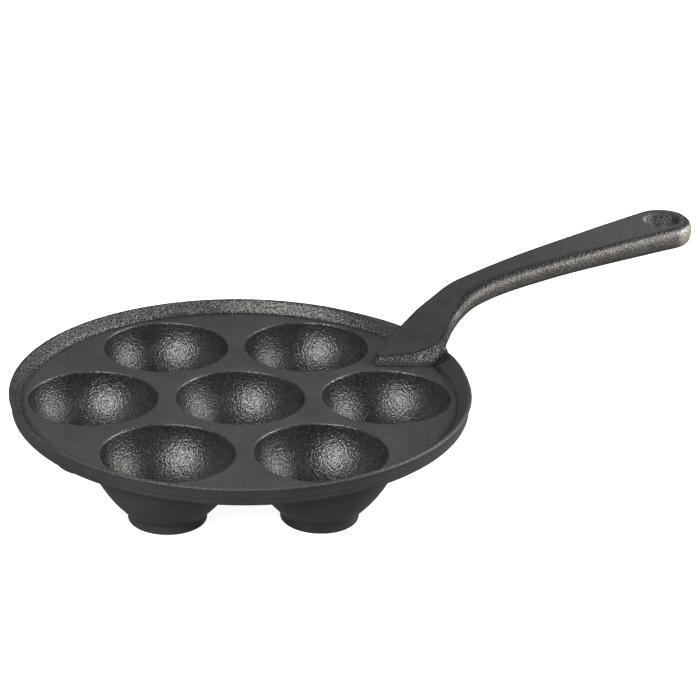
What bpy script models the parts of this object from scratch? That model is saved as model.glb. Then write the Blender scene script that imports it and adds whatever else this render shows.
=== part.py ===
"""Stovetop muffin pan in cast iron: a round deck with seven half-round cups, a low rim and one long handle.

Metres, +Z up. The origin is on the pan's axis, at the level that the cups' feet stand on, and the
handle runs along +X. The real pan is one casting. Each feature that its pattern is built up from is a
solid of its own here, and a fine seam parts it from its neighbours.
"""

import math

import bmesh
import bpy

# Driving dimensions of the seams and the facets
SEAM = 0.0003
CUP_STEPS = 36
PAN_STEPS = 72
ARC_STEPS = 3
EDGE_STEPS = 2
MOUTH_STEPS = 2

# Driving dimensions of the cups and their feet
RING_CUPS = 6
CUP_MOUTH_RADIUS = 0.02805
CUP_DEPTH = 0.0260
CUP_FLOOR = 0.0044
CUP_WALL = 0.0037
CUP_SPACING = 0.0005
MOUTH_EDGE_RADIUS = 0.0006
CUP_WALL_SAG = 0.0019
FOOT_RADIUS = 0.0167
FOOT_TAPER = 0.0004
FOOT_HEIGHT = 0.0029
FOOT_EDGE_RADIUS = 0.0006
BOWL_STEPS = 6
WALL_STEPS = 5

# Driving dimensions of the deck and the rim that stands on it
DECK_THICKNESS = 0.0036
DECK_MARGIN = 0.00715
DECK_EDGE_RADIUS = 0.0020
RIM_HEIGHT = 0.0051
RIM_FLARE = 0.0010
RIM_LIP = 0.0020
RIM_FOOT = 0.0031
RIM_FILLET = 0.0022
RIM_EDGE_RADIUS = 0.0006

# Driving dimensions of the handle: how far each place lies from the rim, positive outwards
ROOT_LENGTH = 0.0277
WEDGE_REACH = -0.0160
ROOT_REACH = -0.0030
CREST_REACH = -0.0050
BRACKET_REACH = 0.0029
BEND_REACH = 0.0060
WAIST_REACH = 0.0090
SHOULDER_REACH = 0.0200
NECK_REACH = 0.0300
ARM_REACH = 0.0450
HANDLE_REACH = 0.1510

# Driving dimensions of the handle: half of its width at those places
TIP_RADIUS = 0.0020
WEDGE_HALF_WIDTH = 0.0082
ROOT_HALF_WIDTH = 0.0134
WAIST_HALF_WIDTH = 0.0104
NECK_HALF_WIDTH = 0.0080
GRIP_HALF_WIDTH = 0.0150

# Driving dimensions of the handle: rise of its top above the deck, thickness and edges
TIP_RISE = 0.0043
WEDGE_RISE = 0.0058
CREST_RISE = 0.0097
BEND_RISE = 0.0191
SHOULDER_RISE = 0.0277
ARM_RISE = 0.0321
GRIP_RISE = 0.0392
NECK_THICKNESS = 0.0081
GRIP_THICKNESS = 0.0109
ROOT_EDGE_RADIUS = 0.0007
GRIP_EDGE_RADIUS = 0.0016
UNDERSIDE_EDGE_RADIUS = 0.0027
ROOT_DRAFT = 0.0018
STATION_STEP = 0.0050
TIP_STEPS = 3
END_STEPS = 9

# Where the root's round tip ends, in degrees, and shares (of the way, of the change) on two slow curves
TIP_ARC_END = 135
SWELL_EARLY = (0.33, 0.30)
SWELL_LATE = (0.80, 0.81)
RISE_MIDWAY = (0.42, 0.52)

# Driving dimensions of the hanging hole and the dish round its mouth
HOLE_RADIUS = 0.0062
DISH_RADIUS = 0.0090
DISH_DEPTH = 0.0022
HOLE_SETBACK = 0.0140

# Sizes that follow from them
DECK_TOP = CUP_DEPTH + CUP_FLOOR
DECK_UNDERSIDE = DECK_TOP - DECK_THICKNESS
CUP_OUTER_RADIUS = CUP_MOUTH_RADIUS + CUP_WALL
RING_RADIUS = (2 * CUP_OUTER_RADIUS + CUP_SPACING) / (2 * math.sin(math.pi / RING_CUPS))
DECK_RADIUS = RING_RADIUS + CUP_MOUTH_RADIUS + DECK_MARGIN
RIM_TOP = DECK_TOP + RIM_HEIGHT
RIM_RADIUS = DECK_RADIUS + RIM_FLARE
FIRST_CUP_ANGLE = math.pi / RING_CUPS
CUTTER_OVERRUN = 0.0050

# Limits: the most of a wall that the rounding of its edge takes, and the fillet's end on the rim, in degrees
EDGE_SHARE = 0.6
RIM_FILLET_END = -20

# Finish of the casting: linear colours, and the angle in degrees past which an edge stays crisp
IRON_COLOUR = (0.062, 0.064, 0.067, 1.0)
GRIP_COLOUR = (0.090, 0.084, 0.077, 1.0)
CUP_ROUGHNESS = 0.62
DECK_ROUGHNESS = 0.58
RIM_ROUGHNESS = 0.60
GRIP_ROUGHNESS = 0.50
IRON_METALLIC = 0.60
CREASE_ANGLE = 35


def new_collection(name):
    made = bpy.data.collections.new(name)
    bpy.context.scene.collection.children.link(made)
    return made


def new_object(name, mesh, collection):
    made = bpy.data.objects.new(name, mesh)
    collection.objects.link(made)
    return made


def new_material(name, colour, roughness, metallic):
    material = bpy.data.materials.new(name)
    material.use_nodes = True
    shader = material.node_tree.nodes["Principled BSDF"]
    shader.inputs["Base Color"].default_value = colour
    shader.inputs["Roughness"].default_value = roughness
    shader.inputs["Metallic"].default_value = metallic
    material.diffuse_color = colour
    return material


def dress(obj, colour, roughness):
    """Gives a piece its own material, and smooth shading that keeps its crisp edges."""
    material = new_material(obj.name + "_iron", colour, roughness, IRON_METALLIC)
    obj.data.materials.clear()
    obj.data.materials.append(material)
    obj.data.shade_smooth()
    obj.data.set_sharp_from_angle(angle=math.radians(CREASE_ANGLE))


def realise(obj):
    """Puts the shape that the object's modifiers make into its mesh."""
    graph = bpy.context.evaluated_depsgraph_get()
    made = bpy.data.meshes.new_from_object(obj.evaluated_get(graph))
    obj.modifiers.clear()
    obj.data = made
    return obj


def cut(obj, cutter):
    modifier = obj.modifiers.new("cut_" + cutter.name, "BOOLEAN")
    modifier.operation = "DIFFERENCE"
    modifier.solver = "EXACT"
    modifier.object = cutter


def hide_cutter(obj):
    obj.hide_render = True
    obj.display_type = "WIRE"


def arc(centre, radii, start, end, steps):
    """Points (across, up) of an ellipse's arc, from one angle to another in degrees."""
    points = []
    for step in range(steps + 1):
        angle = math.radians(start + (end - start) * step / steps)
        across = centre[0] + radii[0] * math.cos(angle)
        up = centre[1] + radii[1] * math.sin(angle)
        points.append((across, up))
    return points


def turned(name, profile, closed, steps, collection):
    """A solid turned about Z from a profile (radius, height) that runs down its outer side."""
    mesh = bpy.data.meshes.new(name)
    bm = bmesh.new()
    points = [bm.verts.new((radius, 0, height)) for radius, height in profile]
    for first, second in zip(points, points[1:]):
        bm.edges.new((first, second))
    if closed:
        bm.edges.new((points[-1], points[0]))
    bm.to_mesh(mesh)
    bm.free()
    obj = new_object(name, mesh, collection)
    screw = obj.modifiers.new("turn", "SCREW")
    screw.axis = "Z"
    screw.angle = math.tau
    screw.steps = steps
    screw.render_steps = steps
    screw.use_merge_vertices = True
    screw.merge_threshold = 0.00001
    return realise(obj)


def bowl_radius(height):
    """Inside radius of a cup at a height, on the ellipse from its mouth to its floor."""
    depth = (DECK_TOP - height) / CUP_DEPTH
    return CUP_MOUTH_RADIUS * math.sqrt(max(0.0, 1.0 - depth * depth))


def bulged_line(start, end, sag, steps):
    """Points of the circular arc between two points, which bows to the left of the way by its sag."""
    half = math.dist(start, end) / 2
    radius = (half * half + sag * sag) / (2 * sag)
    along = ((end[0] - start[0]) / (2 * half), (end[1] - start[1]) / (2 * half))
    middle = ((start[0] + end[0]) / 2, (start[1] + end[1]) / 2)
    swing = math.asin(half / radius)
    points = []
    for step in range(steps + 1):
        angle = swing * (2 * step / steps - 1)
        forward = radius * math.sin(angle)
        aside = radius * math.cos(angle) - radius + sag
        across = middle[0] + along[0] * forward - along[1] * aside
        up = middle[1] + along[1] * forward + along[0] * aside
        points.append((across, up))
    return points


def cup_profile():
    """Bowl floor to lip up the inside, then down the outer wall and round the foot."""
    top = DECK_UNDERSIDE - SEAM
    inner_start = math.degrees(math.asin((DECK_TOP - top) / CUP_DEPTH))
    points = arc((0, DECK_TOP), (CUP_MOUTH_RADIUS, CUP_DEPTH), -90, -inner_start, BOWL_STEPS)
    points[0] = (0.0, CUP_FLOOR)
    foot_top = (FOOT_RADIUS + FOOT_TAPER, FOOT_HEIGHT)
    points += bulged_line((CUP_OUTER_RADIUS, top), foot_top, CUP_WALL_SAG, WALL_STEPS)
    edge = min(FOOT_EDGE_RADIUS, FOOT_HEIGHT / 2)
    points += arc((FOOT_RADIUS - edge, edge), (edge, edge), 0, -90, EDGE_STEPS)
    points.append((0.0, 0.0))
    return points


def cup_places():
    """Name and centre of each cup. The ring is numbered anticlockwise from the handle."""
    places = [("cup_centre", (0.0, 0.0))]
    for index in range(RING_CUPS):
        angle = FIRST_CUP_ANGLE + math.tau * index / RING_CUPS
        centre = (RING_RADIUS * math.cos(angle), RING_RADIUS * math.sin(angle))
        places.append((f"cup_{index + 1}", centre))
    return places


def make_cups(collection):
    shape = None
    made = []
    for name, centre in cup_places():
        if shape is None:
            obj = turned(name, cup_profile(), False, CUP_STEPS, collection)
            shape = obj.data
        else:
            obj = new_object(name, shape.copy(), collection)
        obj.location = (centre[0], centre[1], 0.0)
        dress(obj, IRON_COLOUR, CUP_ROUGHNESS)
        made.append(obj)
    return made


def mouth_cutter_profile():
    """The hole that a cup's mouth makes in the deck, with the small round of its upper edge."""
    above = DECK_TOP + CUTTER_OVERRUN
    below = DECK_UNDERSIDE - CUTTER_OVERRUN
    edge = MOUTH_EDGE_RADIUS
    wide = CUP_MOUTH_RADIUS + edge
    points = [(0.0, above), (wide, above), (wide, DECK_TOP)]
    points += arc((wide, DECK_TOP - edge), (edge, edge), 90, 180, EDGE_STEPS)[1:]
    for step in range(MOUTH_STEPS):
        height = DECK_TOP - DECK_THICKNESS * (step + 1) / MOUTH_STEPS
        points.append((bowl_radius(height), height))
    points += [(bowl_radius(DECK_UNDERSIDE), below), (0.0, below)]
    return points


def make_deck(collection, cutters):
    """The round plate, with a rounded lower edge and one hole for each cup."""
    mesh = bpy.data.meshes.new("deck_plate")
    bm = bmesh.new()
    bmesh.ops.create_cone(
        bm,
        cap_ends=True,
        segments=PAN_STEPS,
        radius1=DECK_RADIUS,
        radius2=DECK_RADIUS,
        depth=DECK_THICKNESS,
    )
    bmesh.ops.translate(bm, verts=bm.verts, vec=(0, 0, DECK_TOP - DECK_THICKNESS / 2))
    just_over = DECK_UNDERSIDE + SEAM
    low = [edge for edge in bm.edges if max(vert.co.z for vert in edge.verts) < just_over]
    bmesh.ops.bevel(
        bm,
        geom=low,
        offset=min(DECK_EDGE_RADIUS, DECK_THICKNESS * EDGE_SHARE),
        segments=ARC_STEPS,
        profile=0.5,
        affect="EDGES",
        material=-1,
    )
    bm.to_mesh(mesh)
    bm.free()
    obj = new_object("deck_plate", mesh, collection)
    for name, centre in cup_places():
        cutter = turned("mouth_of_" + name, mouth_cutter_profile(), False, CUP_STEPS, cutters)
        cutter.location = (centre[0], centre[1], 0.0)
        hide_cutter(cutter)
        cut(obj, cutter)
    bpy.context.view_layer.update()
    realise(obj)
    dress(obj, IRON_COLOUR, DECK_ROUGHNESS)
    return obj


def rim_profile():
    """Closed outline of the rim: lip, flared outer wall, flat underside, fillet and inner wall."""
    foot = DECK_TOP + SEAM
    lip = RIM_EDGE_RADIUS
    lip_inside = RIM_RADIUS - RIM_LIP
    fillet = min(RIM_FILLET, RIM_HEIGHT * EDGE_SHARE)
    toe = DECK_RADIUS - RIM_FOOT - fillet
    points = arc((RIM_RADIUS - lip, RIM_TOP - lip), (lip, lip), 90, 0, ARC_STEPS)
    points.append((DECK_RADIUS, foot))
    points.append((toe, foot))
    points += arc((toe, foot + SEAM + fillet), (fillet, fillet), -90, RIM_FILLET_END, ARC_STEPS)
    points += arc((lip_inside + lip, RIM_TOP - lip), (lip, lip), 180, 90, ARC_STEPS)
    return points


def make_rim(collection, handle_clearance):
    obj = turned("rim_wall", rim_profile(), True, PAN_STEPS, collection)
    cut(obj, handle_clearance)
    bpy.context.view_layer.update()
    realise(obj)
    dress(obj, IRON_COLOUR, RIM_ROUGHNESS)
    return obj


def smooth_through(keys, place):
    """Value at a place on a smooth curve through the keys, which never overshoots them."""
    places = [key[0] for key in keys]
    values = [key[1] for key in keys]
    if place <= places[0]:
        return values[0]
    if place >= places[-1]:
        return values[-1]
    rises = [(b[1] - a[1]) / (b[0] - a[0]) for a, b in zip(keys, keys[1:])]
    slopes = [rises[0]]
    for before, after in zip(rises, rises[1:]):
        slopes.append(2 * before * after / (before + after) if before * after > 0 else 0.0)
    slopes.append(rises[-1])
    index = max(i for i, start in enumerate(places[:-1]) if start <= place)
    span = places[index + 1] - places[index]
    t = (place - places[index]) / span
    rest = 1 - t
    return (
        values[index] * (1 + 2 * t) * rest * rest
        + slopes[index] * span * t * rest * rest
        + values[index + 1] * t * t * (3 - 2 * t)
        - slopes[index + 1] * span * t * t * rest
    )


def blend(first, second, share):
    return first + (second - first) * share


def between(first, second, shares):
    """The key between two others, at shares of the way and of the change."""
    return (blend(first[0], second[0], shares[0]), blend(first[1], second[1], shares[1]))


def tip_end():
    """Reach and half width where the root's round tip ends and its sides begin."""
    angle = math.radians(TIP_ARC_END)
    return (-ROOT_LENGTH + TIP_RADIUS * (1 + math.cos(angle)), TIP_RADIUS * math.sin(angle))


def grip_centre():
    """Reach of the centre of the handle's round end."""
    return HANDLE_REACH - GRIP_HALF_WIDTH


def half_width(reach):
    neck = (NECK_REACH, NECK_HALF_WIDTH)
    grip = (grip_centre(), GRIP_HALF_WIDTH)
    keys = (
        tip_end(),
        (WEDGE_REACH, WEDGE_HALF_WIDTH),
        (ROOT_REACH, ROOT_HALF_WIDTH),
        (WAIST_REACH, WAIST_HALF_WIDTH),
        neck,
        between(neck, grip, SWELL_EARLY),
        between(neck, grip, SWELL_LATE),
        grip,
    )
    return smooth_through(keys, reach)


def top_height(reach):
    arm = (ARM_REACH, ARM_RISE)
    grip = (HANDLE_REACH, GRIP_RISE)
    keys = (
        (-ROOT_LENGTH, TIP_RISE),
        (WEDGE_REACH, WEDGE_RISE),
        (CREST_REACH, CREST_RISE),
        (BEND_REACH, BEND_RISE),
        (SHOULDER_REACH, SHOULDER_RISE),
        arm,
        between(arm, grip, RISE_MIDWAY),
        grip,
    )
    return DECK_TOP + smooth_through(keys, reach)


def bottom_height(reach):
    """The root stands on the deck as far as the bracket's face, and the arm is free beyond it."""
    if reach < BRACKET_REACH:
        return DECK_TOP + SEAM
    share = (reach - BRACKET_REACH) / (HANDLE_REACH - BRACKET_REACH)
    return top_height(reach) - blend(NECK_THICKNESS, GRIP_THICKNESS, share)


def grip_share(reach):
    """0 on the root, 1 on the arm and grip."""
    return min(1.0, max(0.0, (reach - BRACKET_REACH) / (NECK_REACH - BRACKET_REACH)))


def side_stations():
    """Reaches of the points along one side of the handle, closest at the bracket's face."""
    face = (BRACKET_REACH - SEAM / 2, BRACKET_REACH + SEAM / 2)
    stations = list(face)
    for first, last in ((tip_end()[0], face[0]), (face[1], grip_centre())):
        count = max(2, round((last - first) / STATION_STEP))
        stations += [blend(first, last, step / count) for step in range(count + 1)]
    return sorted(set(stations))


def half_outline():
    """Points (reach, half width, normal along, normal across) from the root's tip to the grip's end."""
    tip_centre = (-ROOT_LENGTH + TIP_RADIUS, 0)
    tip = arc(tip_centre, (TIP_RADIUS, TIP_RADIUS), 180, TIP_ARC_END, TIP_STEPS)
    sides = [(reach, half_width(reach)) for reach in side_stations()]
    end = arc((grip_centre(), 0), (GRIP_HALF_WIDTH, GRIP_HALF_WIDTH), 90, 0, END_STEPS)
    points = tip[:-1] + sides + end[1:]
    outline = []
    last = len(points) - 1
    for index, (along, across) in enumerate(points):
        before = points[max(index - 1, 0)]
        after = points[min(index + 1, last)]
        step = (after[0] - before[0], after[1] - before[1])
        normal = (-step[1], step[0])
        if index == 0:
            normal = (-1.0, 0.0)
        if index == last:
            normal = (1.0, 0.0)
        length = math.hypot(*normal)
        outline.append((along, max(across, 0.0), normal[0] / length, normal[1] / length))
    return outline


def edge_rings(reach, grow):
    """Rings from the top's edge round the side to the underside's edge.

    Each is (inset, height from the top, height from the underside), and one of the two heights is None.
    """
    share = grip_share(reach)
    draft = ROOT_DRAFT * min(1.0, max(0.0, reach / -ROOT_LENGTH))
    top_edge = blend(ROOT_EDGE_RADIUS, GRIP_EDGE_RADIUS, share)
    low_edge = blend(ROOT_EDGE_RADIUS, UNDERSIDE_EDGE_RADIUS, share)
    rings = []
    for across, up in arc((-top_edge, -top_edge), (top_edge, top_edge), 90, 0, ARC_STEPS):
        rings.append((across + grow, up + grow, None))
    for across, up in arc((-low_edge, low_edge), (low_edge, low_edge), 0, -90, ARC_STEPS):
        rings.append((across + grow + draft, None, up - grow))
    return rings


def handle_columns(bm, side, grow):
    """Columns of points down one side of the handle, from its top's edge to its underside's."""
    columns = []
    for along, across, normal_along, normal_across in half_outline():
        column = []
        for offset, from_top, from_low in edge_rings(along, grow):
            place = along + offset * normal_along
            if from_top is not None:
                height = top_height(place) + from_top
            else:
                height = bottom_height(along) + from_low
            width = max(0.0, across + offset * normal_across)
            column.append(bm.verts.new((RIM_RADIUS + place, side * width, height)))
        columns.append(column)
    return columns


def handle_mesh(name, grow):
    """The handle, or with grow the room that it needs, skinned between its left and right columns."""
    mesh = bpy.data.meshes.new(name)
    bm = bmesh.new()
    left = handle_columns(bm, 1, grow)
    right = handle_columns(bm, -1, grow)
    for end in (0, -1):
        for vert in right[end]:
            bm.verts.remove(vert)
        right[end] = left[end]
    for columns in (left, right):
        for first, second in zip(columns, columns[1:]):
            for ring in range(len(first) - 1):
                bm.faces.new((first[ring], second[ring], second[ring + 1], first[ring + 1]))
    for index in range(len(left) - 1):
        for ring in (0, -1):
            corners = [right[index][ring], right[index + 1][ring]]
            corners += [left[index + 1][ring], left[index][ring]]
            bm.faces.new(list(dict.fromkeys(corners)))
    bmesh.ops.recalc_face_normals(bm, faces=bm.faces)
    bm.to_mesh(mesh)
    bm.free()
    return mesh


def hole_cutter_profile(top):
    """A straight hole with a dish that rounds into the handle's top."""
    above = top + CUTTER_OVERRUN
    below = top - GRIP_THICKNESS - CUTTER_OVERRUN
    dish = DISH_RADIUS - HOLE_RADIUS
    points = [(0.0, above), (DISH_RADIUS, above), (DISH_RADIUS, top)]
    points += arc((DISH_RADIUS, top - DISH_DEPTH), (dish, DISH_DEPTH), 90, 180, ARC_STEPS)[1:]
    points += [(HOLE_RADIUS, below), (0.0, below)]
    return points


def make_handle(collection, cutters):
    obj = new_object("handle", handle_mesh("handle", 0.0), collection)
    hole_reach = HANDLE_REACH - HOLE_SETBACK
    profile = hole_cutter_profile(top_height(hole_reach))
    cutter = turned("hanging_hole", profile, False, CUP_STEPS, cutters)
    cutter.location.x = RIM_RADIUS + hole_reach
    hide_cutter(cutter)
    cut(obj, cutter)
    bpy.context.view_layer.update()
    realise(obj)
    dress(obj, GRIP_COLOUR, GRIP_ROUGHNESS)
    return obj


def main():
    for obj in list(bpy.data.objects):
        bpy.data.objects.remove(obj, do_unlink=True)
    parts = new_collection("stovetop_muffin_pan")
    cutters = new_collection("cutters")
    cutters.hide_render = True
    base = new_object("pan_frame", None, parts)
    pieces = make_cups(parts)
    pieces.append(make_deck(parts, cutters))
    pieces.append(make_handle(parts, cutters))
    clearance = new_object("handle_clearance", handle_mesh("handle_clearance", SEAM), cutters)
    hide_cutter(clearance)
    pieces.append(make_rim(parts, clearance))
    for piece in pieces:
        piece.parent = base


main()
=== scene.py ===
"""Look of a cast-iron stovetop muffin pan: its fine surfaces, iron finishes, white studio and camera.

Metres, +Z up, in the part's own frame. The origin is on the pan's axis, at the level that the cups'
feet stand on, and the handle runs along +X.
"""

import math

import bmesh
import bpy
from mathutils import Matrix, Vector


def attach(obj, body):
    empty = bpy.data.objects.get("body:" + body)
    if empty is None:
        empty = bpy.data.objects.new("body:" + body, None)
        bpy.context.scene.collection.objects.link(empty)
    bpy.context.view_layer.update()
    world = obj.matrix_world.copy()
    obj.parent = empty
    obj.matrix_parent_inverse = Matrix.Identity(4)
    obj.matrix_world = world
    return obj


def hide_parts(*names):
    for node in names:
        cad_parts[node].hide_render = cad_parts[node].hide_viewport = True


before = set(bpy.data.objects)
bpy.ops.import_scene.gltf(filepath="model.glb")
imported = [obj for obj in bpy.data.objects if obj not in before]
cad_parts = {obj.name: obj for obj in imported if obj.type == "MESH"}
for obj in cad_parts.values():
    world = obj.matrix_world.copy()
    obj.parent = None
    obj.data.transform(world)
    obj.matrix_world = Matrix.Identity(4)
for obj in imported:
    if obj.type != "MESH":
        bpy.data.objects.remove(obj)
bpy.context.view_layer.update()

# Cups and feet
RING_CUPS = 6
RING_RADIUS = 0.0640
MOUTH_RADIUS = 0.02805
MOUTH_ROUND = 0.0010
BOWL_DEPTH = 0.0260
BOWL_FLOOR = 0.0044
LIP_RING = 0.0010
LIP_RISE = 0.00001
SLEEVE_LIFT = 0.0010
CUP_OUTER_RADIUS = 0.03175
CUP_WALL_SAG = 0.0014
CUP_FLARE = 0.0014
CUP_SINK = 0.0003
FOOT_RADIUS = 0.0167
FOOT_TAPER = 0.0004
FOOT_DRAFT = 0.0001
FOOT_HEIGHT = 0.0045
FOOT_STEP = 0.0006
FOOT_ROUND = 0.0012
FOOT_INNER_RING = FOOT_RADIUS * 0.55

# Deck and rim
DECK_TOP = BOWL_FLOOR + BOWL_DEPTH
DECK_THICKNESS = 0.0036
DECK_UNDERSIDE = DECK_TOP - DECK_THICKNESS
DECK_RADIUS = 0.0992
DECK_ROUND = 0.0024
DECK_INNER_RING = 0.0345
DECK_UNDER_RING = 0.0965
SKIRT_DRAFT = 0.00005
MOUTH_CUTTER_LENGTH = 0.02
RIM_TOP = DECK_TOP + 0.0051
RIM_RADIUS = 0.1002
RIM_LIP = 0.0020
RIM_FOOT = 0.0044
RIM_FILLET = 0.0012
RIM_TOE_FLAT = 0.0006
RIM_ROUND = 0.00095
RIM_OUTER_RINGS = (0.0036, 0.0018)
RIM_SPREAD = 0.0009
RIM_SPREAD_AT_ROOT = 0.0012
SPREAD_START = 0.0930
SPREAD_END = 0.0985

# Handle, by its reach from the rim: half widths, rises of its top above the deck, and thicknesses
TIP_REACH = -0.0277
TIP_RADIUS = 0.0020
TIP_ARC_END = math.radians(135)
HANDLE_REACH = 0.1510
GRIP_RADIUS = 0.0150
GRIP_CENTRE = HANDLE_REACH - GRIP_RADIUS
TIP_END = TIP_REACH + TIP_RADIUS * (1 + math.cos(TIP_ARC_END))
WIDTH_SPREAD = 0.0036
WIDTH_SPREAD_FADE = 0.0080
SLOPE_STEP = 0.0002
WIDTHS = (
    (TIP_END, TIP_RADIUS * math.sin(TIP_ARC_END)),
    (-0.0160, 0.0082),
    (-0.0030, 0.0134),
    (0.0090, 0.0104),
    (0.0300, 0.0080),
    (0.0650, 0.0101),
    (0.1148, 0.01367),
    (GRIP_CENTRE, GRIP_RADIUS),
)
RISES = (
    (TIP_REACH, 0.0043),
    (-0.0160, 0.0058),
    (-0.0050, 0.0097),
    (0.0060, 0.0191),
    (0.0200, 0.0281),
    (0.0450, 0.0324),
    (0.0895, 0.0358),
    (HANDLE_REACH, 0.0392),
)
GRIP_THICKNESS = 0.0109
THICKNESSES = (
    (0.0, 0.0068),
    (0.0110, 0.0079),
    (0.0200, 0.0091),
    (0.0320, 0.0093),
    (0.0700, 0.0090),
    (0.1000, 0.0096),
    (HANDLE_REACH, GRIP_THICKNESS),
)
HOLE_REACH = HANDLE_REACH - 0.0140
HOLE_RADIUS = 0.0056
HOLE_DRAFT = 0.0002
HOLE_COLLAR = 0.0010
HOLE_CUTTER_MARGIN = 0.005
DISH_RADIUS = 0.0095
DISH_SHIFT = 0.0010
DISH_DEPTH = 0.0054
DISH_ROUND = 0.0014
DISH_SAG = 0.0004

# Faces that meet at a larger angle than this stay sharp
CREASE = math.radians(50)

# Points of a turned shape, and of the handle's bar, that are nearer than this become one
SPUN_MERGE = 0.000002
BAR_MERGE = 0.000001


def arc(centre, radii, start, end, steps):
    """Points (across, up) of an ellipse's arc, from one angle to another in degrees."""
    points = []
    for step in range(steps + 1):
        angle = math.radians(start + (end - start) * step / steps)
        across = centre[0] + radii[0] * math.cos(angle)
        points.append((across, centre[1] + radii[1] * math.sin(angle)))
    return points


def bulged_line(start, end, sag, steps):
    """Points of the circular arc between two points, which bows to the left of the way by its sag."""
    half = math.dist(start, end) / 2
    radius = (half * half + sag * sag) / (2 * sag)
    along = ((end[0] - start[0]) / (2 * half), (end[1] - start[1]) / (2 * half))
    middle = ((start[0] + end[0]) / 2, (start[1] + end[1]) / 2)
    swing = math.asin(half / radius)
    points = []
    for step in range(steps + 1):
        angle = swing * (2 * step / steps - 1)
        forward = radius * math.sin(angle)
        aside = radius * math.cos(angle) - radius + sag
        across = middle[0] + along[0] * forward - along[1] * aside
        points.append((across, middle[1] + along[1] * forward + along[0] * aside))
    return points


def smooth_through(keys, place):
    """Value at a place on a smooth curve through the keys, which never overshoots them."""
    if place <= keys[0][0]:
        return keys[0][1]
    if place >= keys[-1][0]:
        return keys[-1][1]
    rises = [(b[1] - a[1]) / (b[0] - a[0]) for a, b in zip(keys, keys[1:])]
    slopes = [rises[0]]
    for before, after in zip(rises, rises[1:]):
        slopes.append(2 * before * after / (before + after) if before * after > 0 else 0.0)
    slopes.append(rises[-1])
    index = max(i for i, key in enumerate(keys[:-1]) if key[0] <= place)
    span = keys[index + 1][0] - keys[index][0]
    t = (place - keys[index][0]) / span
    rest = 1 - t
    start = keys[index][1] * (1 + 2 * t) + slopes[index] * span * t
    end = keys[index + 1][1] * (3 - 2 * t) - slopes[index + 1] * span * rest
    return start * rest * rest + end * t * t


def eased_through(keys, place, spread=0.0030):
    """The curve through the keys with its bends eased over a spread to either side."""
    places = [place + spread * share for share in (-1.0, -0.6, -0.2, 0.2, 0.6, 1.0)]
    return sum(smooth_through(keys, near) for near in places) / len(places)


def smooth_step(low, high, value):
    """0 at low and 1 at high, which may be the smaller one, with a smooth way between."""
    t = min(1.0, max(0.0, (value - low) / (high - low)))
    return t * t * (3 - 2 * t)


def spun(profile, steps):
    """A bmesh turned about Z from a profile (radius, height), closed where an end lies on the axis."""
    bm = bmesh.new()
    points = [bm.verts.new((radius, 0, height)) for radius, height in profile]
    edges = [bm.edges.new(pair) for pair in zip(points, points[1:])]
    bmesh.ops.spin(
        bm,
        geom=points + edges,
        cent=(0, 0, 0),
        axis=(0, 0, 1),
        angle=math.tau,
        steps=steps,
        use_merge=True,
    )
    bmesh.ops.remove_doubles(bm, verts=bm.verts, dist=SPUN_MERGE)
    bmesh.ops.recalc_face_normals(bm, faces=bm.faces)
    return bm


def piece_from(bm, name):
    """An object of the scene from a bmesh, shaded smooth except at its creases."""
    mesh = bpy.data.meshes.new(name)
    bm.to_mesh(mesh)
    bm.free()
    mesh.shade_smooth()
    mesh.set_sharp_from_angle(angle=CREASE)
    piece = bpy.data.objects.new(name, mesh)
    bpy.context.scene.collection.objects.link(piece)
    return piece


def realise(piece):
    """Puts the shape that a piece's modifiers make into its mesh, and takes its cutters away."""
    cutters = [modifier.object for modifier in piece.modifiers if modifier.type == "BOOLEAN"]
    graph = bpy.context.evaluated_depsgraph_get()
    mesh = bpy.data.meshes.new_from_object(piece.evaluated_get(graph))
    piece.modifiers.clear()
    piece.data = mesh
    for cutter in cutters:
        bpy.data.objects.remove(cutter)
    mesh.materials.clear()
    mesh.shade_smooth()
    mesh.set_sharp_from_angle(angle=CREASE)
    weigh = piece.modifiers.new("even_shading", "WEIGHTED_NORMAL")
    weigh.keep_sharp = True
    return piece


def cut(piece, cutter):
    """Takes the cutter's shape out of a piece, once the piece is realised."""
    hole = piece.modifiers.new("cut", "BOOLEAN")
    hole.operation = "DIFFERENCE"
    hole.solver = "EXACT"
    hole.object = cutter


def cup_places():
    """Suffix and centre of each cup: one in the middle, and the ring numbered from the handle."""
    places = [("centre", Vector((0, 0, 0)))]
    for index in range(RING_CUPS):
        angle = math.pi / RING_CUPS + math.tau * index / RING_CUPS
        centre = Vector((math.cos(angle), math.sin(angle), 0)) * RING_RADIUS
        places.append((str(index + 1), centre))
    return places


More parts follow.
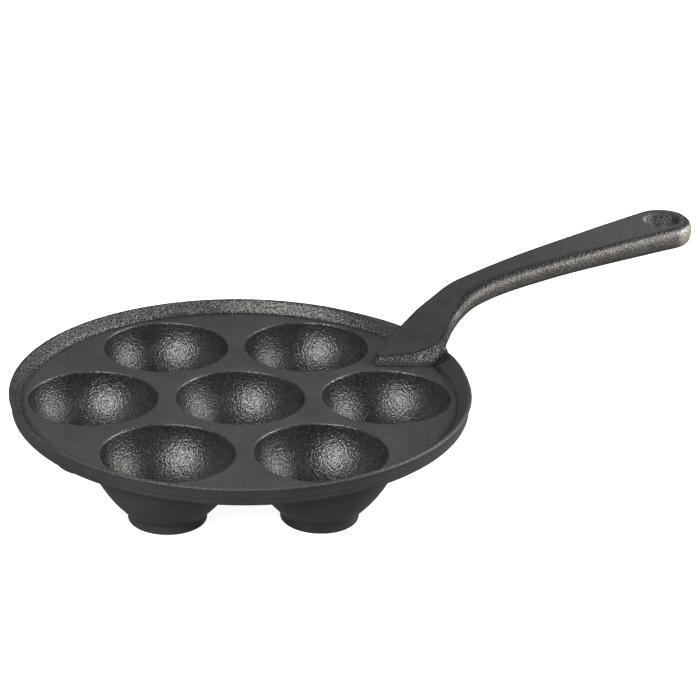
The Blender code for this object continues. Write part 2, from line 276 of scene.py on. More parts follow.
def cup_profile():
    """From the bowl's floor up over its lip into the deck, then down the outer wall to the foot."""
    edge = (MOUTH_RADIUS + MOUTH_ROUND, DECK_TOP - MOUTH_ROUND)
    start = math.degrees(math.asin(MOUTH_ROUND / BOWL_DEPTH))
    points = arc((0, DECK_TOP), (MOUTH_RADIUS, BOWL_DEPTH), -90, -start, 64)
    points[0] = (0.0, BOWL_FLOOR)
    points += arc(edge, (MOUTH_ROUND, MOUTH_ROUND + LIP_RISE), 180, 90, 8)[1:]
    points.append((edge[0] + LIP_RING, DECK_TOP + LIP_RISE))
    points.append((edge[0] + LIP_RING, DECK_UNDERSIDE + SLEEVE_LIFT))
    flare_centre = (CUP_OUTER_RADIUS + CUP_FLARE, DECK_UNDERSIDE + CUP_SINK - CUP_FLARE)
    points += arc(flare_centre, (CUP_FLARE, CUP_FLARE), 90, 180, 8)
    foot_top = (FOOT_RADIUS + FOOT_TAPER, FOOT_HEIGHT)
    points += bulged_line(points[-1], foot_top, CUP_WALL_SAG, 28)[1:]
    points.append((FOOT_RADIUS + FOOT_DRAFT, FOOT_HEIGHT - FOOT_STEP))
    points += arc((FOOT_RADIUS - FOOT_ROUND, FOOT_ROUND), (FOOT_ROUND, FOOT_ROUND), 0, -90, 6)
    points += [(FOOT_INNER_RING, 0.0), (0.0, 0.0)]
    return points


def make_cups():
    """Each cup with its suffix and centre: one closed turned shell from its bowl to its foot."""
    cups = []
    for suffix, centre in cup_places():
        bm = spun(cup_profile(), steps=128)
        bmesh.ops.translate(bm, verts=bm.verts, vec=centre)
        cups.append((piece_from(bm, "iron_cup_" + suffix), suffix, centre))
    return cups


def rim_inner_radius(height):
    """Radius of the rim's sloping inner wall at a height above its fillet."""
    share = (height - DECK_TOP) / (RIM_TOP - DECK_TOP)
    return DECK_RADIUS - RIM_FOOT + (RIM_RADIUS - RIM_LIP - DECK_RADIUS + RIM_FOOT) * share


def rim_outer_radius(height):
    """Radius of the rim's outer wall, which leans out a little above the deck."""
    share = (height - DECK_TOP) / (RIM_TOP - DECK_TOP)
    return DECK_RADIUS + (RIM_RADIUS - DECK_RADIUS) * min(1.0, max(0.0, share))


def rim_spread(x, y):
    """How much further out the rim and skirt stand on the handle's side of the pan."""
    turn = abs(math.degrees(math.atan2(y, x)))
    at_root = RIM_SPREAD_AT_ROOT * (1 - smooth_step(10, 28, turn))
    return RIM_SPREAD * (1 - smooth_step(25, 90, turn)) + at_root


def deck_profile():
    """From the deck's centre out to the rim, over its lip, down the skirt and back under the deck."""
    toe = DECK_RADIUS - RIM_FOOT - RIM_FILLET
    rings = (0.0, DECK_INNER_RING, RING_RADIUS, SPREAD_START, toe - RIM_TOE_FLAT)
    points = [(radius, DECK_TOP) for radius in rings]
    points += arc((toe, DECK_TOP + RIM_FILLET), (RIM_FILLET, RIM_FILLET), -90, -40, 12)
    crest = RIM_TOP - RIM_ROUND
    points += arc((RIM_RADIUS - RIM_LIP + RIM_ROUND, crest), (RIM_ROUND, RIM_ROUND), 140, 90, 8)
    points += arc((RIM_RADIUS - RIM_ROUND, crest), (RIM_ROUND, RIM_ROUND), 90, 0, 8)
    points += [(rim_outer_radius(DECK_TOP + rise), DECK_TOP + rise) for rise in RIM_OUTER_RINGS]
    points += [(DECK_RADIUS, DECK_TOP), (DECK_RADIUS - SKIRT_DRAFT, DECK_UNDERSIDE + DECK_ROUND)]
    low = (DECK_RADIUS - DECK_ROUND, DECK_UNDERSIDE + DECK_ROUND)
    points += arc(low, (DECK_ROUND, DECK_ROUND), 0, -90, 8)[1:]
    rings = (DECK_UNDER_RING, RING_RADIUS, DECK_INNER_RING, 0.0)
    points += [(radius, DECK_UNDERSIDE) for radius in rings]
    return points


def make_deck():
    """Deck, rim and skirt as one turned casting, with a plain hole under each cup's lip."""
    bm = spun(deck_profile(), steps=240)
    for vert in bm.verts:
        radius = vert.co.xy.length
        if radius > SPREAD_START:
            spread = rim_spread(vert.co.x, vert.co.y) * smooth_step(SPREAD_START, SPREAD_END, radius)
            stretch = 1 + spread / radius
            vert.co.x *= stretch
            vert.co.y *= stretch
    deck = piece_from(bm, "iron_deck_and_rim")
    hole_radius = MOUTH_RADIUS + MOUTH_ROUND + LIP_RING / 2
    for suffix, centre in cup_places():
        bm = bmesh.new()
        bmesh.ops.create_cone(
            bm,
            cap_ends=True,
            segments=96,
            radius1=hole_radius,
            radius2=hole_radius,
            depth=MOUTH_CUTTER_LENGTH,
        )
        bmesh.ops.translate(bm, verts=bm.verts, vec=centre + Vector((0, 0, DECK_TOP)))
        cut(deck, piece_from(bm, "mouth_cutter_" + suffix))
    return realise(deck)


def half_width(reach):
    """Half of the handle's width in plan, round at its tip and its grip's end, with eased bends between."""
    if reach < TIP_END:
        along = reach - TIP_REACH - TIP_RADIUS
        return math.sqrt(max(0.0, TIP_RADIUS**2 - along**2))
    if reach > GRIP_CENTRE:
        return math.sqrt(max(0.0, GRIP_RADIUS**2 - (reach - GRIP_CENTRE) ** 2))
    ease = smooth_step(TIP_END, TIP_END + WIDTH_SPREAD_FADE, reach)
    ease *= 1 - smooth_step(GRIP_CENTRE - WIDTH_SPREAD_FADE, GRIP_CENTRE, reach)
    return eased_through(WIDTHS, reach, WIDTH_SPREAD * ease)


def side_normal(reach):
    """Outward direction (along, across) of the handle's left side in plan."""
    if reach < TIP_END:
        along = (reach - TIP_REACH - TIP_RADIUS) / TIP_RADIUS
        return (along, math.sqrt(max(0.0, 1 - along * along)))
    if reach > GRIP_CENTRE:
        along = (reach - GRIP_CENTRE) / GRIP_RADIUS
        return (along, math.sqrt(max(0.0, 1 - along * along)))
    step = min(SLOPE_STEP, reach - TIP_END, GRIP_CENTRE - reach) + 0.000001
    slope = (half_width(reach + step) - half_width(reach - step)) / (2 * step)
    length = math.hypot(1, slope)
    return (-slope / length, 1 / length)


def top_height(reach):
    """Height of the handle's top."""
    return DECK_TOP + eased_through(RISES, reach)


# Underside of the handle: off the deck, out from the skirt in a hollow curve, and on into the arm
UNDERSIDE_RISE = -0.0020
HOLLOW_START = 0.0001
HOLLOW_END = 0.0090
HOLLOW_FOOT = DECK_TOP + 0.0018
DECK_BITE = 0.0002


def arm_underside(reach):
    """Height of the underside as it would be without the hollow."""
    return top_height(reach) - smooth_through(THICKNESSES, reach)


def bottom_height(reach):
    """Height of the handle's underside: a bite into the deck, then the hollow, then the arm."""
    if reach <= HOLLOW_START:
        rise = HOLLOW_FOOT - DECK_TOP + DECK_BITE
        return DECK_TOP - DECK_BITE + rise * smooth_step(UNDERSIDE_RISE, HOLLOW_START, reach)
    low = arm_underside(reach)
    if reach >= HOLLOW_END:
        return low
    left = 1 - (reach - HOLLOW_START) / (HOLLOW_END - HOLLOW_START)
    drop = arm_underside(HOLLOW_START) - HOLLOW_FOOT
    return low - drop * (1 - math.sqrt(max(0.0, 1 - left * left)))


# Rings of points down the handle's side, and the forms that they follow at its root and along its arm
SIDE_RINGS = 44
TOP_ROUND_RINGS = 8
LOW_ROUND_RINGS = 8
WALL_RINGS = SIDE_RINGS - TOP_ROUND_RINGS - LOW_ROUND_RINGS
DECK_FILLET = 0.0009
LIP_FILLET = 0.0020
LIP_FILLET_START = 0.0925
LIP_FILLET_END = 0.0980
RINGS_ABOVE_FILLET = 2
ROOT_END = 0.0200
ROOT_TOP_ROUND = 0.0008
ROOT_LOW_ROUND = 0.0005
ROOT_WALL_BOW = 1.4
TIP_DRAFT = 0.0014
RIM_DRAFT = 0.0018
LEFT_SHOULDER = 0.0022
RIGHT_SHOULDER = 0.0054
SHOULDER_CHANGE = 0.0012
LOWER_EDGE = 0.0026
LOWER_EDGE_CHANGE = 0.0008
SIDE_BOW = 0.76
RIGHT_BOW = 0.20
RIGHT_BOW_CHANGE = 0.12


def gap_to_rim(radius, height):
    """Distance from a point outside the deck and rim to them, in the plane through the pan's axis."""
    over_deck = height - DECK_TOP
    if radius > DECK_RADIUS:
        over_deck = math.hypot(radius - DECK_RADIUS, max(0.0, over_deck))
    level = min(RIM_TOP, max(DECK_TOP, height))
    beside = max(rim_inner_radius(level) - radius, radius - rim_outer_radius(level), 0.0)
    over_wall = math.hypot(beside, max(0.0, height - RIM_TOP))
    return max(0.0, min(over_deck, over_wall))


def fillet_at(radius, height):
    """How far the fillet at the handle's foot stands out, small on the deck and large at the rim."""
    at_lip = smooth_step(LIP_FILLET_START, LIP_FILLET_END, radius)
    size = DECK_FILLET + (LIP_FILLET - DECK_FILLET) * at_lip
    gap = gap_to_rim(radius, height)
    if gap >= size:
        return 0.0
    return size - math.sqrt(max(0.0, size * size - (size - gap) ** 2))


def root_ring(reach, ring):
    """(inset, height) of a ring on the handle's root: a drafted wall with small rounds."""
    draft = TIP_DRAFT * smooth_step(0.0, TIP_REACH, reach)
    near_rim = smooth_step(0.0010, -0.0060, reach) * (1 - smooth_step(-0.0100, -0.0220, reach))
    draft += RIM_DRAFT * near_rim
    top = top_height(reach)
    low = bottom_height(reach)
    if ring <= TOP_ROUND_RINGS:
        angle = math.pi / 2 * (1 - ring / TOP_ROUND_RINGS)
        return (ROOT_TOP_ROUND * (math.cos(angle) - 1), top + ROOT_TOP_ROUND * (math.sin(angle) - 1))
    if ring >= SIDE_RINGS - LOW_ROUND_RINGS:
        angle = math.pi / 2 * (ring - SIDE_RINGS + LOW_ROUND_RINGS) / LOW_ROUND_RINGS
        inset = draft + ROOT_LOW_ROUND * (math.cos(angle) - 1)
        return (inset, low + ROOT_LOW_ROUND * (1 - math.sin(angle)))
    share = (ring - TOP_ROUND_RINGS) / WALL_RINGS
    share = 1 - (1 - share) ** ROOT_WALL_BOW
    start = top - ROOT_TOP_ROUND
    return (draft * share, start + (low + ROOT_LOW_ROUND - start) * share)


def arm_ring(reach, ring, turn):
    """(inset, height) of a ring on the arm and grip. The right shoulder, at turn -1, is rounder."""
    grip = smooth_step(0.0300, 0.1200, reach)
    right = (1 - turn) / 2
    left_shoulder = LEFT_SHOULDER + SHOULDER_CHANGE * grip
    right_shoulder = RIGHT_SHOULDER - SHOULDER_CHANGE * grip
    upper = left_shoulder + (right_shoulder - left_shoulder) * right
    lower = LOWER_EDGE + LOWER_EDGE_CHANGE * grip
    top = top_height(reach)
    low = bottom_height(reach)
    angle = math.pi * (0.5 - ring / SIDE_RINGS)
    bow = SIDE_BOW
    if angle > 0:
        bow += (RIGHT_BOW - RIGHT_BOW_CHANGE * grip) * right
    out = abs(math.cos(angle)) ** bow
    level = math.copysign(abs(math.sin(angle)) ** bow, angle)
    depth = upper if level > 0 else lower
    return (depth * (out - 1), (top + low) / 2 + (top - low) / 2 * level)


def ring_place(reach, ring, turn):
    """(inset, height) of a ring on the handle's side, counted from its top edge to its lower one."""
    root = root_ring(reach, ring)
    arm = arm_ring(reach, ring, turn)
    share = smooth_step(0.0, ROOT_END, reach)
    return (root[0] + (arm[0] - root[0]) * share, root[1] + (arm[1] - root[1]) * share)


# Steps between the points of the handle's outline, which are finer where it meets the rim
STATION_STEP = 0.0012
FINE_STATION_STEP = 0.0004
FINE_STATIONS_END = 0.0080
LAST_STATION_GAP = 0.0010


def handle_stations():
    """Reaches where the handle's outline has a point, close at its ends and where it meets the rim."""
    stations = [TIP_REACH + TIP_RADIUS * (1 - math.cos(math.radians(9 * step))) for step in range(10)]
    reach = stations[-1]
    while reach < GRIP_CENTRE - LAST_STATION_GAP:
        stations.append(reach)
        reach += FINE_STATION_STEP if abs(reach) < FINE_STATIONS_END else STATION_STEP
    stations += [GRIP_CENTRE + GRIP_RADIUS * math.sin(math.radians(3 * step)) for step in range(31)]
    stations += [HOLLOW_START - 0.00005, HOLLOW_START + 0.00005, HOLLOW_START + 0.0002]
    stations = sorted(stations)
    return [a for a, b in zip(stations, stations[1:]) if b - a > 0.00001] + [stations[-1]]


def shape_handle(bm):
    """Moves the bar's points to their places on the handle."""
    for vert in bm.verts:
        reach = vert.co.x
        side = math.copysign(1.0, vert.co.y)
        edge = half_width(reach)
        share = abs(vert.co.y) / edge if edge > 0.00001 else 1.0
        ring = round(-vert.co.z * SIDE_RINGS)
        inset, height = ring_place(reach, ring, side * share)
        along, out = side_normal(reach)
        place = reach + inset * along
        width = edge + inset * out
        if ring <= TOP_ROUND_RINGS:
            height += top_height(place) - top_height(reach)
        if ring > RINGS_ABOVE_FILLET and reach < ROOT_END:
            radius = math.hypot(RIM_RADIUS + place, width)
            foot = fillet_at(radius - rim_spread(RIM_RADIUS + place, width), height)
            place += foot * along
            width += foot * out
        vert.co = (RIM_RADIUS + place, side * share * max(0.0, width), height)


def handle_bar():
    """A bar of the handle's plan, a metre deep for now, with the rings of points down its sides."""
    bm = bmesh.new()
    outline = [bm.verts.new((reach, half_width(reach), 0)) for reach in handle_stations()]
    edges = [bm.edges.new(pair) for pair in zip(outline, outline[1:])]
    made = bmesh.ops.extrude_edge_only(bm, edges=edges)["geom"]
    middle = [item for item in made if isinstance(item, bmesh.types.BMVert)]
    for vert in middle:
        vert.co.y = 0.0
    rungs = [edge for edge in bm.edges if abs(edge.verts[0].co.x - edge.verts[1].co.x) < 0.0000001]
    bmesh.ops.subdivide_edges(bm, edges=rungs, cuts=5, use_grid_fill=True)
    bmesh.ops.mirror(bm, geom=bm.verts[:] + bm.edges[:] + bm.faces[:], axis="Y", merge_dist=BAR_MERGE)
    bmesh.ops.remove_doubles(bm, verts=bm.verts, dist=BAR_MERGE)
    lower = bmesh.ops.extrude_face_region(bm, geom=bm.faces[:], use_keep_orig=True)["geom"]
    lower_verts = [item for item in lower if isinstance(item, bmesh.types.BMVert)]
    bmesh.ops.translate(bm, verts=lower_verts, vec=(0, 0, -1))
    uprights = [edge for edge in bm.edges if abs(edge.verts[0].co.z - edge.verts[1].co.z) > 0.5]
    bmesh.ops.subdivide_edges(bm, edges=uprights, cuts=SIDE_RINGS - 1, use_grid_fill=True)
    return bm


def make_hole_cutter():
    """The hanging hole and its rounded dish, whose brim lies a little nearer to the pan."""
    top = top_height(HOLE_REACH)
    low = top - GRIP_THICKNESS - HOLE_CUTTER_MARGIN
    dish_floor = top - DISH_DEPTH
    profile = [(0.0, top + HOLE_CUTTER_MARGIN), (DISH_RADIUS, top + HOLE_CUTTER_MARGIN)]
    profile += arc((DISH_RADIUS, top - DISH_ROUND), (DISH_ROUND, DISH_ROUND), 90, 145, 6)
    profile += bulged_line(profile[-1], (HOLE_RADIUS, dish_floor), DISH_SAG, 6)[1:]
    profile += [(HOLE_RADIUS - HOLE_DRAFT, dish_floor - HOLE_COLLAR), (HOLE_RADIUS + HOLE_DRAFT, low)]
    profile.append((0.0, low))
    bm = spun(profile, steps=96)
    for vert in bm.verts:
        vert.co.x -= DISH_SHIFT * smooth_step(HOLE_RADIUS, DISH_RADIUS, vert.co.xy.length)
    bmesh.ops.translate(bm, verts=bm.verts, vec=(RIM_RADIUS + HOLE_REACH, 0, 0))
    return piece_from(bm, "hole_cutter")


def make_handle():
    """The bar with its points moved to the handle's rise, rounds and fillets, and the hole cut."""
    bm = handle_bar()
    shape_handle(bm)
    bmesh.ops.recalc_face_normals(bm, faces=bm.faces)
    handle = piece_from(bm, "iron_handle")
    cut(handle, make_hole_cutter())
    return realise(handle)


class Value:
    """A value that varies over a surface. Python's arithmetic on it adds Math nodes."""

    def __init__(self, finish, socket):
        self.finish = finish
        self.socket = socket

    def math(self, operation, first, second):
        return self.finish.node("ShaderNodeMath", {"operation": operation}, {0: first, 1: second})

    def __add__(self, other):
        return self.math("ADD", self, other)

    def __sub__(self, other):
        return self.math("SUBTRACT", self, other)

    def __rsub__(self, other):
        return self.math("SUBTRACT", other, self)

    def __mul__(self, other):
        return self.math("MULTIPLY", self, other)

    def __truediv__(self, other):
        return self.math("DIVIDE", self, other)

    def __pow__(self, other):
        return self.math("POWER", self, other)

    __radd__ = __add__
    __rmul__ = __mul__

    def fade(self, low, high):
        """0 at low and 1 at high, with a smooth way between."""
        values = {"Value": self, "From Min": low, "From Max": high}
        settings = {"interpolation_type": "SMOOTHSTEP"}
        return self.finish.node("ShaderNodeMapRange", settings, values)


class Finish:
    """A finish: one material, whose nodes are added one call at a time."""

    def __init__(self, name):
        self.material = bpy.data.materials.new(name)
        self.material.use_nodes = True
        self.tree = self.material.node_tree
        self.shader = self.tree.nodes["Principled BSDF"]
        self.place = self.node("ShaderNodeTexCoord", output="Object")
        self.facing = self.node("ShaderNodeNewGeometry", output="Normal")

    def feed(self, socket, value):
        """Links a value to a socket, or sets the socket to a plain number or colour."""
        if isinstance(value, Value):
            self.tree.links.new(value.socket, socket)
        else:
            socket.default_value = value

    def node(self, kind, settings=None, values=None, output=0):
        """Adds a node with its settings, then the values or links of its sockets."""
        made = self.tree.nodes.new(kind)
        for name, setting in (settings or {}).items():
            setattr(made, name, setting)
        for name, value in (values or {}).items():
            self.feed(made.inputs[name], value)
        return Value(self, made.outputs[output])

    def axes(self, vector):
        """The three parts of a vector."""
        node = self.node("ShaderNodeSeparateXYZ", {}, {0: vector})
        return [Value(self, socket) for socket in node.socket.node.outputs]

    def cloud(self, scale, detail=2.0, roughness=0.5):
        """Soft noise from about 0 to 1, with about so many patches to a metre as its scale says."""
        values = {"Vector": self.place, "Scale": scale, "Detail": detail, "Roughness": roughness}
        return self.node("ShaderNodeTexNoise", {}, values)

    def cells(self, scale):
        """Soft dimples, about so many to a metre as the scale says."""
        values = {"Vector": self.place, "Scale": scale, "Smoothness": 0.6}
        return self.node("ShaderNodeTexVoronoi", {"feature": "SMOOTH_F1"}, values)

    def pits(self, scale):
        """1 over most of the surface and 0 at small points."""
        values = {"Vector": self.place, "Scale": scale}
        return self.node("ShaderNodeTexVoronoi", {}, values).fade(0.0, 0.05)

    def blend(self, share, first, second):
        """A colour that goes from the first to the second."""
        values = {0: share, 6: first, 7: second}
        return self.node("ShaderNodeMix", {"data_type": "RGBA"}, values, output=2)

    def bump(self, height, depth):
        """The normal of a relief, which is its height times a depth in metres."""
        return self.node("ShaderNodeBump", {}, {"Height": height, "Distance": depth, "Strength": 1.0})

    def wear(self, colour, roughness, normal):
        """The finished material."""
        self.feed(self.shader.inputs["Base Color"], colour)
        self.feed(self.shader.inputs["Roughness"], roughness)
        self.feed(self.shader.inputs["Normal"], normal)
        return self.material


# Colours of the iron, linear, with the black of painted shade and the pale greys of painted light
DECK_GREY = (0.0110, 0.0111, 0.0117, 1.0)
DECK_GREY_LIGHT = (0.0320, 0.0320, 0.0326, 1.0)
BOWL_BLACK = (0.0050, 0.0050, 0.0048, 1.0)
BOWL_GREY = (0.0300, 0.0294, 0.0274, 1.0)
SKIRT_GREY = (0.0210, 0.0228, 0.0234, 1.0)
SKIRT_GREY_LIGHT = (0.0280, 0.0300, 0.0300, 1.0)
GRIP_GREY = (0.0080, 0.0080, 0.0078, 1.0)
GRIP_GREY_LIGHT = (0.0260, 0.0258, 0.0252, 1.0)
GRIP_PALE = (0.0410, 0.0410, 0.0400, 1.0)
GRIP_WARM = (0.0250, 0.0231, 0.0207, 1.0)
GRIP_WARM_LIGHT = (0.0760, 0.0708, 0.0636, 1.0)
END_LIGHT_PALE = (0.1900, 0.1795, 0.1640, 1.0)
SHADE_BLACK = (0.0070, 0.0070, 0.0072, 1.0)
ROOT_GREY = (0.0400, 0.0394, 0.0372, 1.0)
PAINTED_LIGHT_PALE = (0.1700, 0.1680, 0.1590, 1.0)
DISH_LIGHT_PALE = (0.3400, 0.3340, 0.3160, 1.0)

# Depth in metres of a relief of 1
RELIEF = 0.00025


def smooth_skin(finish):
    """Colour, roughness and relief of the matte iron on the deck, the same on the cups' lips."""
    mottle = finish.cloud(55, detail=4.0)
    speckle = finish.cloud(950, detail=2.0)
    tone = mottle.fade(0.3, 0.7) * 0.35 + speckle.fade(0.25, 0.75) * 0.65
    colour = finish.blend(tone, DECK_GREY, DECK_GREY_LIGHT)
    relief = finish.cloud(900, detail=2.5) * 1.90 + finish.cloud(70, detail=1.0) * 0.14
    relief = relief + finish.pits(130) * 0.14
    patina = finish.cloud(330, detail=3.0, roughness=0.7)
    roughness = 0.60 + (mottle - 0.5) * 0.10 + (patina - 0.5) * 0.35 + (speckle - 0.5) * 0.60
    return colour, roughness, relief


def cast_grain(finish):
    """Relief of the orange-peel grain that the sand mould leaves."""
    return finish.cloud(1250, detail=2.5, roughness=0.60) * 1.05 + finish.cells(1050) * 0.60


def cup_finish(name, centre):
    """Orange-peel grain inside the bowl, the deck's skin on its lip, and a finer skin outside."""
    finish = Finish(name)
    values = {0: finish.place, 1: centre}
    x, y, z = finish.axes(finish.node("ShaderNodeVectorMath", {"operation": "SUBTRACT"}, values))
    out = (x * x + y * y) / MOUTH_RADIUS**2
    down = (DECK_TOP - z) / BOWL_DEPTH
    inside = 1 - (out + down * down).fade(1.008, 1.03)
    lip = z.fade(DECK_TOP - 0.0012, DECK_TOP - 0.0006) * (1 - inside)
    deck_colour, deck_roughness, deck_relief = smooth_skin(finish)
    fine = finish.cloud(1500, detail=2.0) * 0.20 + finish.cloud(300, detail=1.0) * 0.20
    grain = cast_grain(finish)
    bowl_relief = grain + finish.cloud(420, detail=1.0) * 0.40
    height = bowl_relief * inside + deck_relief * lip + fine * (1 - inside) * (1 - lip)
    mottle = finish.cloud(90, detail=3.0)
    bowl_tone = grain.fade(0.55, 1.15) * 0.8 + mottle.fade(0.35, 0.65) * 0.2
    bowl = finish.blend(bowl_tone, BOWL_BLACK, BOWL_GREY)
    skirt = finish.blend(mottle.fade(0.35, 0.65), SKIRT_GREY, SKIRT_GREY_LIGHT)
    colour = finish.blend(lip, finish.blend(inside, skirt, bowl), deck_colour)
    roughness = 0.50 - inside * 0.21 + (mottle - 0.5) * 0.10
    roughness = roughness * (1 - lip) + deck_roughness * lip
    return finish.wear(colour, roughness, finish.bump(height, RELIEF))


# Side of the handle's root in plan: the x where its line would meet the middle, and the line's slope
ROOT_LINE_START = 0.0674
ROOT_LINE_SLOPE = 0.62


def deck_finish():
    """Matte top with fine pits, a grainy inner rim with a painted highlight, painted black shade in its
    corner and along the handle's root, and a plain skirt.
    """
    finish = Finish("deck_and_rim_iron")
    x, y, z = finish.axes(finish.place)
    radius = (x * x + y * y) ** 0.5
    up = finish.axes(finish.facing)[2]
    above = up.fade(-0.2, 0.3)
    upper = z.fade(DECK_TOP - 0.0010, DECK_TOP - 0.0002)
    # Grain on the rim's inner wall, weaker to the right of the handle and beside its root
    within = radius.fade(0.0934, 0.0946) * (1 - radius.fade(0.0986, 0.0996)) * upper
    near_handle = x.fade(0.030, 0.080) * (1 - y.fade(-0.020, 0.020))
    beside_handle = x.fade(0.0850, 0.0950) * 0.40
    grainy = within * (1 - near_handle * 0.75) * (1 - beside_handle)
    # Painted highlight: the rim's inner wall paler and speckled to the left of the handle, where the key
    # light reflects
    rim_highlight = ((x * 0.74 + y * 0.67) / radius).fade(0.90, 1.0) * (1 - x.fade(0.078, 0.090))
    # Painted shade: black in the corner where the deck meets the rim, and a painted shadow along the
    # handle's root
    corner_shade = radius.fade(0.0925, 0.0937) * (1 - radius.fade(0.0946, 0.0958))
    beside_root = (y * y) ** 0.5 - (x - ROOT_LINE_START) * ROOT_LINE_SLOPE
    root_shadow = (1 - beside_root.fade(0.0006, 0.0024)) * x.fade(0.0680, 0.0705)
    root_shadow = root_shadow * (1 - radius.fade(0.0998, 0.1012))
    corner_shade = (corner_shade + root_shadow * (1 - corner_shade)) * upper
    coarse = grainy * (1 - corner_shade)
    deck, deck_roughness, deck_relief = smooth_skin(finish)
    grain = cast_grain(finish)
    skirt = finish.blend(finish.cloud(55, detail=4.0).fade(0.3, 0.7), SKIRT_GREY, SKIRT_GREY_LIGHT)
    height = grain * (coarse + grainy) * 0.9 + deck_relief * (0.2 + above * 0.8)
    wall = finish.blend(grain.fade(0.55, 1.15), BOWL_BLACK, BOWL_GREY)
    wall = finish.blend(rim_highlight, wall, finish.blend(grain.fade(0.60, 1.05), BOWL_BLACK, PAINTED_LIGHT_PALE))
    colour = finish.blend(grainy, finish.blend(above, skirt, deck), wall)
    # Painted shade: the corner and the root's line turn black
    colour = finish.blend(corner_shade * 0.90, colour, SHADE_BLACK)
    roughness = deck_roughness - coarse * 0.31 - corner_shade * 0.32
    return finish.wear(colour, roughness, finish.bump(height, RELIEF))


def handle_finish():
    """Smooth dark top, warm sandy sides, a coarse root and a coarse dish; painted light on the dish's near
    flank, the root's wall by the rim and the grip's end, and painted shade along the edges, the root and
    the lower sides.
    """
    finish = Finish("handle_iron")
    x, y, z = finish.axes(finish.place)
    nx, ny, up = finish.axes(finish.facing)
    radius = (x * x + y * y) ** 0.5
    # Where the top, the root, the hole's dish and the sides lie
    top = up.fade(0.55, 0.85)
    root = 1 - x.fade(0.100, 0.112)
    rough = (1 - top) * root
    from_hole = ((x - RIM_RADIUS - HOLE_REACH) ** 2.0 + y * y) ** 0.5
    in_dish = (1 - from_hole.fade(DISH_RADIUS + 0.0002, DISH_RADIUS + 0.0012)) * up.fade(-0.75, -0.45)
    hollow = in_dish * (1 - top)
    # Painted light: the dish's flank nearer the pan
    lit_flank = (RIM_RADIUS + HOLE_REACH - x).fade(0.0030, 0.0075)
    side = (1 - top) * (1 - root) * (1 - in_dish)
    # Painted shade: a dark edge between the top and the sides, also round the grip's end
    grip_end = x.fade(RIM_RADIUS + GRIP_CENTRE - 0.0010, RIM_RADIUS + GRIP_CENTRE + 0.0050)
    lean = (ny * ny + nx * nx * grip_end) ** 0.5
    edge = lean.fade(0.02, 0.16) * (1 - lean.fade(0.58, 0.84)) * (1 - in_dish)
    # Painted shade: dark lines along the root's foot and below its top edge, and painted shade where it
    # crosses the rim
    foot_shadow = 1 - z.fade(DECK_TOP + 0.0007, DECK_TOP + 0.0017)
    along = (x - RIM_RADIUS - TIP_REACH) * 100
    top_edge = DECK_TOP + 0.0043 + along * (0.00112 + along * (along * 0.00038 - 0.00031))
    under_top = 1 - (top_edge - z).fade(0.0008, 0.0015)
    steep = (ny * ny + nx * nx * (1 - x.fade(0.075, 0.082))) ** 0.5
    line = (foot_shadow + under_top * (1 - foot_shadow)) * root * steep.fade(0.15, 0.35)
    seam_shade = radius.fade(0.0980, 0.0992) * (1 - radius.fade(0.1018, 0.1042)) * (1 - top)
    grain = cast_grain(finish)
    coarse = grain * 1.3 + finish.cloud(500, detail=1.0) * 0.3
    skin = finish.cloud(950, detail=3.0, roughness=0.65)
    height = coarse * (rough * 1.4 + hollow) + skin * 2.00 + finish.cloud(140, detail=2.0) * 0.40
    speckle = finish.cloud(900, detail=2.5)
    mottle = finish.cloud(150, detail=3.0, roughness=0.6)
    tone = mottle.fade(0.3, 0.7) * 0.4 + speckle.fade(0.25, 0.75) * 0.6
    dark = finish.blend(tone, GRIP_GREY, GRIP_GREY_LIGHT)
    dark = finish.blend(x.fade(0.150, 0.215) * (0.4 + tone * 0.4), dark, GRIP_PALE)
    warm = finish.blend(tone, GRIP_WARM, GRIP_WARM_LIGHT)
    # Painted shade: the sides turn a darker grey where they face down
    warm = finish.blend((1 - up.fade(-0.50, 0.10)) * 0.75, warm, GRIP_GREY_LIGHT)
    # Painted light: the grip's end face pale, except where it faces down
    end_light = x.fade(RIM_RADIUS + GRIP_CENTRE - 0.0030, RIM_RADIUS + GRIP_CENTRE + 0.0030)
    warm = finish.blend(end_light * up.fade(-0.80, -0.30), warm, END_LIGHT_PALE)
    cast = finish.blend(grain.fade(0.55, 1.15), BOWL_BLACK, ROOT_GREY)
    # Painted light: the root's side wall paler towards the rim
    lit_root_cast = finish.blend(grain.fade(0.72, 1.10), BOWL_BLACK, PAINTED_LIGHT_PALE)
    cast = finish.blend(x.fade(0.080, 0.092) * (1 - x.fade(0.0965, 0.0985)) * 0.8, cast, lit_root_cast)
    colour = finish.blend(rough, finish.blend(side, dark, warm), cast)
    # Painted light: the dish's near flank pale and speckled
    lit_dish_cast = finish.blend(grain.fade(0.62, 1.02), BOWL_GREY, DISH_LIGHT_PALE)
    colour = finish.blend(hollow, colour, finish.blend(lit_flank, cast, lit_dish_cast))
    # Painted shade: black in the seam, along the dark edge and in the dark lines
    colour = finish.blend(seam_shade * 0.85 + edge * 0.90 + line, colour, SHADE_BLACK)
    roughness = 0.74 - rough * 0.40 - side * 0.43 + seam_shade * 0.30
    roughness = roughness - edge * 0.44 - hollow * 0.38 + line * 0.60
    patina = finish.cloud(330, detail=3.0, roughness=0.7)
    roughness = roughness + (mottle - 0.5) * 0.15 + (patina - 0.5) * 0.50 + (speckle - 0.5) * 0.50
    return finish.wear(colour, roughness, finish.bump(height, RELIEF))


def dress():
    """Models the pieces, finishes them and hands them to the part's one body."""
    deck = make_deck()
    deck.data.materials.append(deck_finish())
    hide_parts("deck_plate", "rim_wall")
    handle = make_handle()
    handle.data.materials.append(handle_finish())
    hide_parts("handle")
    pieces = [deck, handle]
    for cup, suffix, centre in make_cups():
        cup.data.materials.append(cup_finish("cup_iron_" + suffix, centre))
        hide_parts("cup_" + suffix)
        pieces.append(cup)
    for piece in pieces:
        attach(piece, "root")


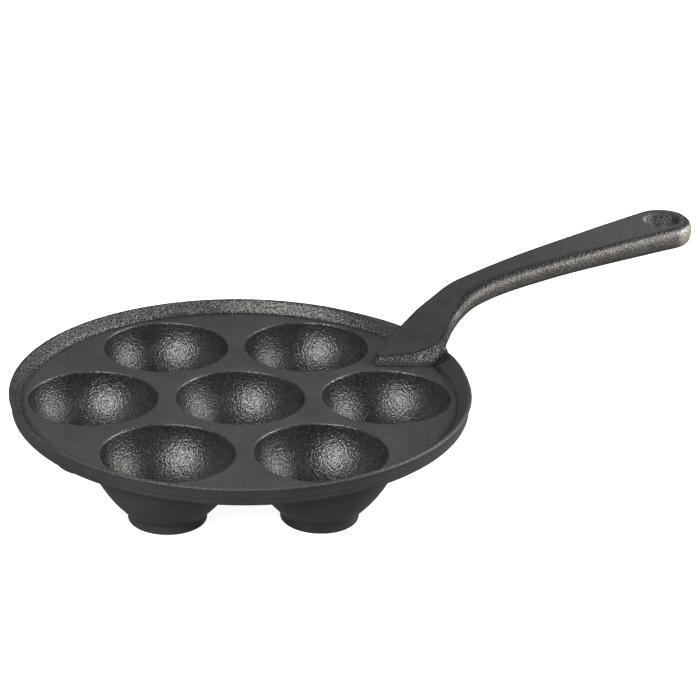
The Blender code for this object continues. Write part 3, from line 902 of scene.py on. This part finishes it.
# Camera at the photograph's place
CAMERA_AZIMUTH = math.radians(-34.782)
CAMERA_RISE = math.radians(23.472)
CAMERA_ROLL = math.radians(1.75)
CAMERA_DISTANCE = 1.125391
CAMERA_SHIFT = (-0.047952, -0.020793)
CAMERA_LENS = 132.553
LOOKED_AT = Vector((0, 0, 0.030))


def camera_axes():
    """Right, up and backward directions of the camera before its roll."""
    azimuth = CAMERA_AZIMUTH
    level = math.cos(CAMERA_RISE)
    back = Vector((math.sin(azimuth) * level, -math.cos(azimuth) * level, math.sin(CAMERA_RISE)))
    right = Vector((math.cos(azimuth), math.sin(azimuth), 0))
    return right, back.cross(right), back


def make_camera():
    """A long lens at the photograph's place, rolled a little, which looks at the pan."""
    right, up, back = camera_axes()
    rolled_right = math.cos(CAMERA_ROLL) * right + math.sin(CAMERA_ROLL) * up
    rolled_up = math.cos(CAMERA_ROLL) * up - math.sin(CAMERA_ROLL) * right
    turn = Matrix((rolled_right, rolled_up, back)).transposed()
    eye = LOOKED_AT - turn @ Vector((*CAMERA_SHIFT, -CAMERA_DISTANCE))
    lens = bpy.data.cameras.new("studio_camera")
    lens.sensor_width = 36
    lens.lens = CAMERA_LENS
    lens.clip_start = 0.01
    camera = bpy.data.objects.new("studio_camera", lens)
    camera.matrix_world = Matrix.Translation(eye) @ turn.to_4x4()
    bpy.context.scene.collection.objects.link(camera)
    bpy.context.scene.camera = camera


# Soft lights: name, swing and rise in degrees, distance, width, height, glow and tint
WHITE = (1.0, 1.0, 1.0)
SOFT_LIGHTS = (
    ("key", -28, 38, 1.3, 0.50, 0.60, 31.0, WHITE),
    ("right_strip", 99, 19, 1.3, 0.52, 0.80, 22.5, (1.0, 0.97, 0.93)),
    ("backdrop", 180, 36, 2.2, 3.2, 1.3, 0.50, WHITE),
    ("table_bounce", 0, -58, 0.9, 2.4, 1.2, 0.25, WHITE),
    ("table_bounce_behind", 180, -50, 0.9, 2.4, 1.2, 0.11, WHITE),
)
FLOOR_DROP = 0.0002
FLOOR_WHITE = (0.8, 0.8, 0.8, 1.0)
FLOOR_GLOW = 0.93
ROOM_GREY = (0.16, 0.16, 0.165, 1.0)


def softbox(name, swing, rise, distance, width, height, glow, tint):
    """A soft light to the right of the camera by a swing in degrees. Its glow is its radiance."""
    azimuth = CAMERA_AZIMUTH + math.radians(swing)
    level = math.radians(rise)
    way = Vector((math.sin(azimuth), -math.cos(azimuth), 0)) * math.cos(level)
    way.z = math.sin(level)
    lamp = bpy.data.lights.new(name, "AREA")
    lamp.shape = "RECTANGLE"
    lamp.size = width
    lamp.size_y = height
    lamp.energy = glow * math.pi * width * height
    lamp.color = tint
    light = bpy.data.objects.new(name, lamp)
    light.location = LOOKED_AT + way * distance
    light.rotation_euler = way.to_track_quat("Z", "Y").to_euler()
    light.visible_camera = False
    bpy.context.scene.collection.objects.link(light)


def make_floor():
    """A white floor that sweeps up far away and throws no light of its own on the pan."""
    sweep = [(0.0, 0.0), (2.0, 0.0), (6.0, 0.0)]
    sweep += arc((6.0, 4.0), (4.0, 4.0), -90, 0, 16)[1:]
    sweep.append((10.0, 9.0))
    bm = spun([(radius, height - FLOOR_DROP) for radius, height in sweep], steps=48)
    floor = piece_from(bm, "studio_floor")
    paint = Finish("floor_white")
    paint.shader.inputs["Base Color"].default_value = FLOOR_WHITE
    paint.shader.inputs["Roughness"].default_value = 0.9
    paint.shader.inputs["Specular IOR Level"].default_value = 0.0
    paint.shader.inputs["Emission Color"].default_value = (*WHITE, 1.0)
    paint.shader.inputs["Emission Strength"].default_value = FLOOR_GLOW
    floor.data.materials.append(paint.material)
    floor.visible_glossy = False
    floor.visible_diffuse = False
    floor.visible_shadow = False


def make_studio():
    """A grey room with a white floor and the soft lights."""
    make_floor()
    world = bpy.data.worlds.new("studio_world")
    world.use_nodes = True
    world.node_tree.nodes["Background"].inputs["Color"].default_value = ROOM_GREY
    bpy.context.scene.world = world
    for light in SOFT_LIGHTS:
        softbox(*light)
    bpy.context.scene.view_settings.view_transform = "Standard"


dress()
make_camera()
make_studio()
